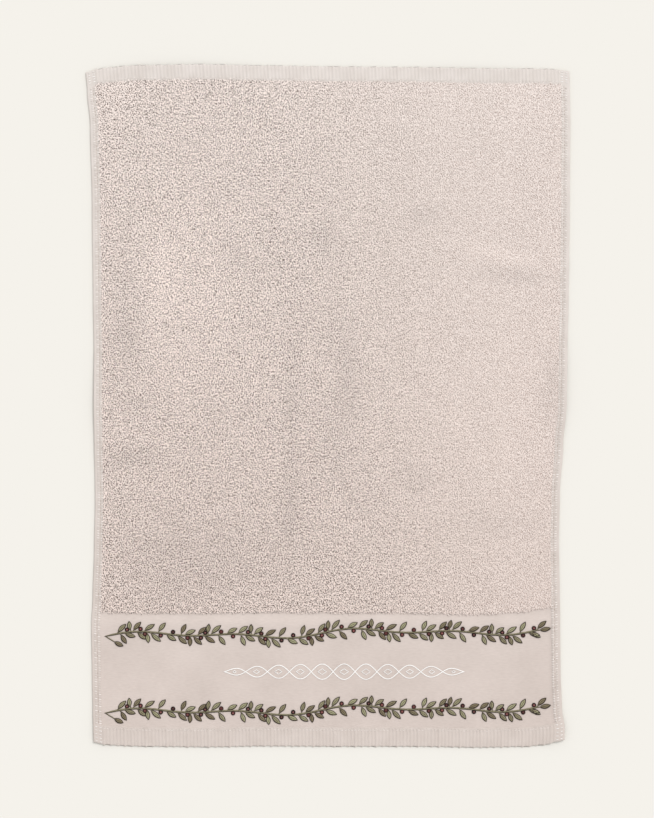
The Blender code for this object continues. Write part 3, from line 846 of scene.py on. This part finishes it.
def add_leaves_and_berries(mesh, garland):
    """Every leaf and berry of a garland, run by run, then the leaves at its ends."""
    count = 0
    for run in range(RUNS):
        flip = 1 - 2 * (run % 2)
        for spot in LEAF_SPOTS:
            share = BARE_TIP + (1 - BARE_TIP) * (run + spot.at) / RUNS
            lean = spot.side * flip * (spot.lean + LEAN_SWAY * math.sin(LEAN_TURN * count))
            long = spot.long * (1 + LONG_SWAY * math.sin(LONG_TURN * count))
            add_leaf(mesh, Leaf(garland, share, lean, STALK, BLADE * long))
            count += 1
        for spot in BERRY_SPOTS:
            share = BARE_TIP + (1 - BARE_TIP) * (run + spot.at) / RUNS
            x, y = stem_point(garland, share)
            heading = stem_heading(garland, share)
            out = spot.side * flip * BERRY_OUT
            add_berry(mesh, (x - out * math.sin(heading), y + out * math.cos(heading)))
    for leaf in END_LEAVES:
        add_leaf(mesh, Leaf(garland, leaf.share, leaf.lean, leaf.stalk, leaf.blade))


def garlands():
    """The two embroidered garlands, each one piece in place of its solid."""
    materials = [thread(look) for look in GARLAND_THREADS]
    pieces = []
    for garland in GARLANDS:
        mesh = Mesh(garland.name + "_stitched")
        add_stem(mesh, garland)
        add_leaves_and_berries(mesh, garland)
        piece = mesh.finish(materials)
        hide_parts(garland.name)
        pieces.append(piece)
    return pieces


def white_ornament():
    """Two waving threads that cross and taper away to both ends, with a small diamond in each eye."""
    mesh = Mesh("white_ornament")
    share = np.linspace(-1, 1, 20 * TWINE_EYES + 1)
    x = TWINE_MIDDLE[0] + TWINE_HALF_LONG * share
    rise = TWINE_RISE * np.sqrt((1 - share * share).clip(0, 1))
    for side in (1, -1):
        turn = (share + 1) * TWINE_EYES * np.pi / 2
        y = TWINE_MIDDLE[1] + rise * (side * np.sin(turn))
        z = band_top(x, y) + TWINE_THREAD * (TWINE_UP + TWINE_OVER * (np.cos(turn) * side))
        thread_tube(mesh, (x, y, z), TWINE_THREAD, sides=6)
    for eye in range(TWINE_EYES):
        middle = -1 + (2 * eye + 1) / TWINE_EYES
        size = math.sqrt(1 - middle * middle)
        long, wide = (axis * np.abs(axis) * size for axis in (np.cos(RING_TURNS), np.sin(RING_TURNS)))
        x = TWINE_MIDDLE[0] + TWINE_HALF_LONG * middle + DIAMOND_LONG * long
        y = TWINE_MIDDLE[1] + DIAMOND_WIDE * wide
        z = band_top(x, y) + TWINE_THREAD * TWINE_UP
        thread_tube(mesh, (x, y, z), DIAMOND_THREAD, closed=True)
    return mesh.finish([thread(WHITE_THREAD)])


def add_cloth_stitch(mesh, side, reach, along, stitch):
    """A stitch laid on the cloth, by how far its points lie in from a side edge and up the length."""
    across = np.asarray(reach) / WIDTH
    points = cloth_points(across if side == 0 else 1 - across, np.asarray(along) / LENGTH, 1)
    points[:, 2] += np.array(stitch.rises) * stitch.radius
    thread_tube(mesh, points.T, stitch.radius, slot=stitch.slot)


def hem_stitches():
    """The stitches that hold the side hems, the tacks at the corners and the rows along the end hems."""
    mesh = Mesh("hem_stitches")
    for side in (0, 1):
        for along in np.arange(*LADDER_RUN, LADDER_PITCH):
            for reach in LADDER_REACHES:
                add_cloth_stitch(mesh, side, reach, np.full(4, along), LADDER)
        for low, high in TACK_RUNS:
            for along in np.linspace(low, high, TACK_ROWS):
                for reach in TACK_REACHES:
                    add_cloth_stitch(mesh, side, reach, np.full(4, along), TACK)
        for start in np.arange(*SEAM_RUN, SEAM_PITCH):
            along = start + np.array(SEAM_SHARES) * SEAM_LONG
            add_cloth_stitch(mesh, side, np.full(4, SEAM_AT), along, SEAM)
    for along in (BAND_HEM - RUNNING_INSET, TERRY_END + RUNNING_INSET):
        for start in np.arange(*RUNNING_RUN, RUNNING_PITCH):
            reach = start + np.array(RUNNING_SHARES) * RUNNING_LONG
            add_cloth_stitch(mesh, 0, reach, np.full(4, along), RUNNING)
    return mesh.finish([thread(look) for look in HEM_THREADS])


class Nodes:
    """A material's nodes, added one after another."""

    def __init__(self, name, roughness, sheen):
        self.material = bpy.data.materials.new(name)
        self.material.use_nodes = True
        self.tree = self.material.node_tree
        self.shader = self.tree.nodes["Principled BSDF"]
        self.shader.inputs["Roughness"].default_value = roughness
        self.shader.inputs["Specular IOR Level"].default_value = 0.2
        self.shader.inputs["Sheen Weight"].default_value = sheen
        self.shader.inputs["Sheen Roughness"].default_value = 0.5
        self.place = self.add("ShaderNodeTexCoord").outputs["Object"]

    def add(self, kind, **values):
        node = self.tree.nodes.new(kind)
        for key, value in values.items():
            setattr(node, key, value)
        return node

    def link(self, source, target):
        self.tree.links.new(source, target)

    def noise(self, scale, detail=2.0, place=None):
        node = self.add("ShaderNodeTexNoise")
        node.inputs["Scale"].default_value = scale
        node.inputs["Detail"].default_value = detail
        self.link(place or self.place, node.inputs["Vector"])
        return node.outputs["Fac"]

    def spots(self, scale, randomness, place):
        """The distance across the cloth to the nearest of many scattered points, in cells."""
        node = self.add("ShaderNodeTexVoronoi", voronoi_dimensions="2D")
        node.inputs["Scale"].default_value = scale
        node.inputs["Randomness"].default_value = randomness
        self.link(place, node.inputs["Vector"])
        return node.outputs["Distance"]

    def waves(self, pitch, direction):
        """Fine parallel lines of a weave, a pitch apart; at a scale of 1 they are 2 pi / 20 apart."""
        node = self.add("ShaderNodeTexWave", bands_direction=direction)
        node.inputs["Scale"].default_value = 2 * math.pi / 20 / pitch
        self.link(self.place, node.inputs["Vector"])
        return node.outputs["Fac"]

    def math(self, operation, first, second):
        node = self.add("ShaderNodeMath", operation=operation)
        for socket, value in zip(node.inputs, (first, second)):
            if isinstance(value, (int, float)):
                socket.default_value = value
            else:
                self.link(value, socket)
        return node.outputs["Value"]

    def between(self, fac, low, high, start=0.3, end=0.7):
        """A colour that goes from low to high as fac goes from start to end."""
        node = self.add("ShaderNodeValToRGB")
        node.color_ramp.elements[0].position = start
        node.color_ramp.elements[0].color = (*low, 1)
        node.color_ramp.elements[1].position = end
        node.color_ramp.elements[1].color = (*high, 1)
        self.link(fac, node.inputs["Fac"])
        return node.outputs["Color"]

    def share_along(self, x, y, middle=0.5):
        """A share that grows by x over the width and y over the length, with its value at the middle."""
        node = self.add("ShaderNodeVectorMath", operation="DOT_PRODUCT")
        self.link(self.place, node.inputs[0])
        node.inputs[1].default_value = (x / WIDTH, y / LENGTH, 0)
        return self.math("ADD", node.outputs["Value"], middle)

    def falloff_shaded(self, colour):
        """The colour as it is at the plain end, and a little deeper and warmer towards the band end:
        painted shade where the light falls off.
        """
        tone = self.between(self.share_along(x=0.0, y=1.0), *PAINTED_FALLOFF, start=0.0, end=1.0)
        return self.blend("MULTIPLY", 1.0, colour, tone)

    def fold_shaded(self, colour):
        """The colour with the painted shade and light of the folds' soft patches over it."""
        tone = self.add("ShaderNodeAttribute", attribute_name="fold_shade").outputs["Color"]
        return self.blend("MULTIPLY", 1.0, colour, tone)

    def stretched(self, x, y):
        """The place with its two flat directions scaled, for marks that are longer one way."""
        node = self.add("ShaderNodeMapping")
        node.inputs["Scale"].default_value = (x, y, 1.0)
        self.link(self.place, node.inputs["Vector"])
        return node.outputs["Vector"]

    def blend(self, kind, fac, first, second):
        """Two colours mixed, by a number or by another node's value."""
        node = self.add("ShaderNodeMix", data_type="RGBA", blend_type=kind)
        factor, a, b = node.inputs["Factor"], node.inputs[6], node.inputs[7]  # a and b take colours
        if isinstance(fac, (int, float)):
            factor.default_value = fac
        else:
            self.link(fac, factor)
        self.link(first, a)
        self.link(second, b)
        return node.outputs[2]

    def bump(self, height, distance):
        node = self.add("ShaderNodeBump")
        node.inputs["Distance"].default_value = distance
        node.inputs["Strength"].default_value = 1.0
        self.link(height, node.inputs["Height"])
        self.link(node.outputs["Normal"], self.shader.inputs["Normal"])

    def colour(self, source):
        self.link(source, self.shader.inputs["Base Color"])


def weave(nodes, pitch):
    """The height of a plain weave: threads both ways, a little uneven."""
    warp = nodes.waves(pitch, "X")
    weft = nodes.waves(pitch, "Y")
    plait = nodes.math("MULTIPLY", warp, weft)
    return nodes.math("ADD", plait, nodes.math("MULTIPLY", nodes.noise(1400), 0.7))


def hem_cotton():
    """Plain weave, a little uneven in tone."""
    nodes = Nodes("cotton_hem", roughness=0.92, sheen=0.25)
    nodes.colour(nodes.falloff_shaded(nodes.between(nodes.noise(60), *HEM_TONES)))
    nodes.bump(weave(nodes, pitch=0.0007), distance=0.00012)
    return nodes.material


def band_cotton():
    """Smooth weave, with slubs that run along the weft."""
    nodes = Nodes("cotton_band", roughness=0.9, sheen=0.2)
    slubs = nodes.noise(900, place=nodes.stretched(0.22, 1.0))
    broad = nodes.math("MULTIPLY", nodes.noise(22), 0.5)
    tone = nodes.math("ADD", broad, nodes.math("MULTIPLY", slubs, 0.5))
    nodes.colour(nodes.fold_shaded(nodes.falloff_shaded(nodes.between(tone, *BAND_TONES))))
    nodes.bump(weave(nodes, pitch=0.0006), distance=0.00010)
    return nodes.material


def pile_tone_and_shade(nodes, shade):
    """Pile colour with painted shade: dark where the shade is low, with more contrast at the lower left,
    where the rougher pile is shaded more deeply.
    """
    smooth = nodes.between(shade, *SMOOTH_PILE_AND_SHADE, *GAP_SHADE_RAMP)
    rough = nodes.between(shade, *ROUGH_PILE_AND_SHADE, *GAP_SHADE_RAMP)
    roughness = nodes.share_along(x=-2.6, y=-0.6, middle=0.90)
    return nodes.fold_shaded(nodes.falloff_shaded(nodes.blend("MIX", roughness, smooth, rough)))


def gap_shade(nodes):
    """Painted shade: small dark nicks for the shadowed gaps between the loops, longer along the cloth
    than across: low in a nick and high beside it.
    """
    place = nodes.stretched(1.0, 0.60)
    uneven = nodes.math("SUBTRACT", nodes.noise(1500, detail=0.0, place=place), 0.5)
    return nodes.math("ADD", nodes.spots(900, randomness=0.95, place=place), uneven)


def ground_cotton():
    """The ground under the loops, in their tones, with their painted shade of dark nicks, a little deeper
    here for lack of each loop's own tone.
    """
    nodes = Nodes("cotton_ground", roughness=0.95, sheen=0.1)
    nodes.colour(pile_tone_and_shade(nodes, gap_shade(nodes)))
    nodes.bump(nodes.noise(900), distance=0.0003)
    return nodes.material


def back_terry():
    """The nubbly underside of the terry, darker in the hollows between the nubs, which is painted shade.
    """
    nodes = Nodes("terry_back", roughness=0.95, sheen=0.3)
    nubs = nodes.noise(420, detail=3.0)
    nodes.colour(nodes.between(nubs, *BACK_TONES_AND_SHADE))
    nodes.bump(nubs, distance=0.0012)
    return nodes.material


def loop_cotton():
    """Loop yarn: each loop its own tone, partly painted shade for how the light falls on it, over the
    painted shade of fine dark nicks between the loops.
    """
    nodes = Nodes("cotton_loops", roughness=0.95, sheen=0.35)
    each = nodes.add("ShaderNodeNewGeometry").outputs["Random Per Island"]
    shade = nodes.math("ADD", gap_shade(nodes), nodes.math("MULTIPLY", each, EACH_LOOP))
    nodes.colour(pile_tone_and_shade(nodes, shade))
    nodes.bump(nodes.noise(2600), distance=0.00015)
    return nodes.material


def thread(look):
    """Thread with a soft gloss, fine strands, and a tone of its own for each leaf or stitch."""
    nodes = Nodes(look.name, roughness=0.6, sheen=0.02)
    each = nodes.add("ShaderNodeNewGeometry").outputs["Random Per Island"]
    strands = nodes.math("MULTIPLY", nodes.noise(520, detail=3.0), 1 - look.own)
    tone = nodes.math("ADD", strands, nodes.math("MULTIPLY", each, look.own))
    nodes.colour(nodes.between(tone, look.dark, look.bright))
    nodes.bump(nodes.noise(3200), distance=0.00012)
    return nodes.material


def floor():
    """The plain pale surface under the towel."""
    data = bpy.data.meshes.new("floor")
    corners = [(-1, -1), (1, -1), (1, 1), (-1, 1)]
    data.from_pydata([(x * FLOOR_HALF, y * FLOOR_HALF, FLOOR_Z) for x, y in corners], [], [(0, 1, 2, 3)])
    material = bpy.data.materials.new("floor_pale")
    material.use_nodes = True
    shader = material.node_tree.nodes["Principled BSDF"]
    shader.inputs["Base Color"].default_value = (*FLOOR_TONE, 1)
    shader.inputs["Roughness"].default_value = 1.0
    shader.inputs["Specular IOR Level"].default_value = 0.0
    data.materials.append(material)
    piece = bpy.data.objects.new("floor", data)
    bpy.context.scene.collection.objects.link(piece)


def light():
    """Soft light from all round, with a broad lamp from the upper right."""
    world = bpy.data.worlds.new("studio")
    world.use_nodes = True
    background = world.node_tree.nodes["Background"]
    background.inputs["Color"].default_value = (1.0, 1.0, 1.0, 1)
    background.inputs["Strength"].default_value = SKY_STRENGTH
    bpy.context.scene.world = world
    sun = bpy.data.lights.new("key", "SUN")
    sun.angle = math.radians(LAMP_SPREAD)
    lamp = bpy.data.objects.new("key", sun)
    height = math.radians(LAMP_HEIGHT)
    lamp.rotation_euler = (math.pi / 2 - height, 0, math.radians(LAMP_BEARING) + math.pi / 2)
    sun.energy = LAMP_STRENGTH * math.pi / math.sin(height)
    bpy.context.scene.collection.objects.link(lamp)


def camera():
    """Straight down on the cloth, framed as the photograph is."""
    data = bpy.data.cameras.new("camera")
    data.lens = LENS_MM
    data.sensor_width = SENSOR_MM
    data.clip_end = 4 * FLOOR_HALF
    eye = bpy.data.objects.new("camera", data)
    x = (FRAME_PIXELS[0] / 2 - MIDDLE_PIXEL[0]) * PIXEL
    y = (MIDDLE_PIXEL[1] - FRAME_PIXELS[1] / 2) * PIXEL
    eye.location = (x, y, LENS_MM / SENSOR_MM * FRAME_PIXELS[1] * PIXEL)
    bpy.context.scene.collection.objects.link(eye)
    bpy.context.scene.camera = eye
    bpy.context.scene.view_settings.view_transform = "Standard"


cloth = towel_cloth()
loops = terry_loops()
stitched = [*garlands(), white_ornament(), hem_stitches()]
floor()
light()
camera()
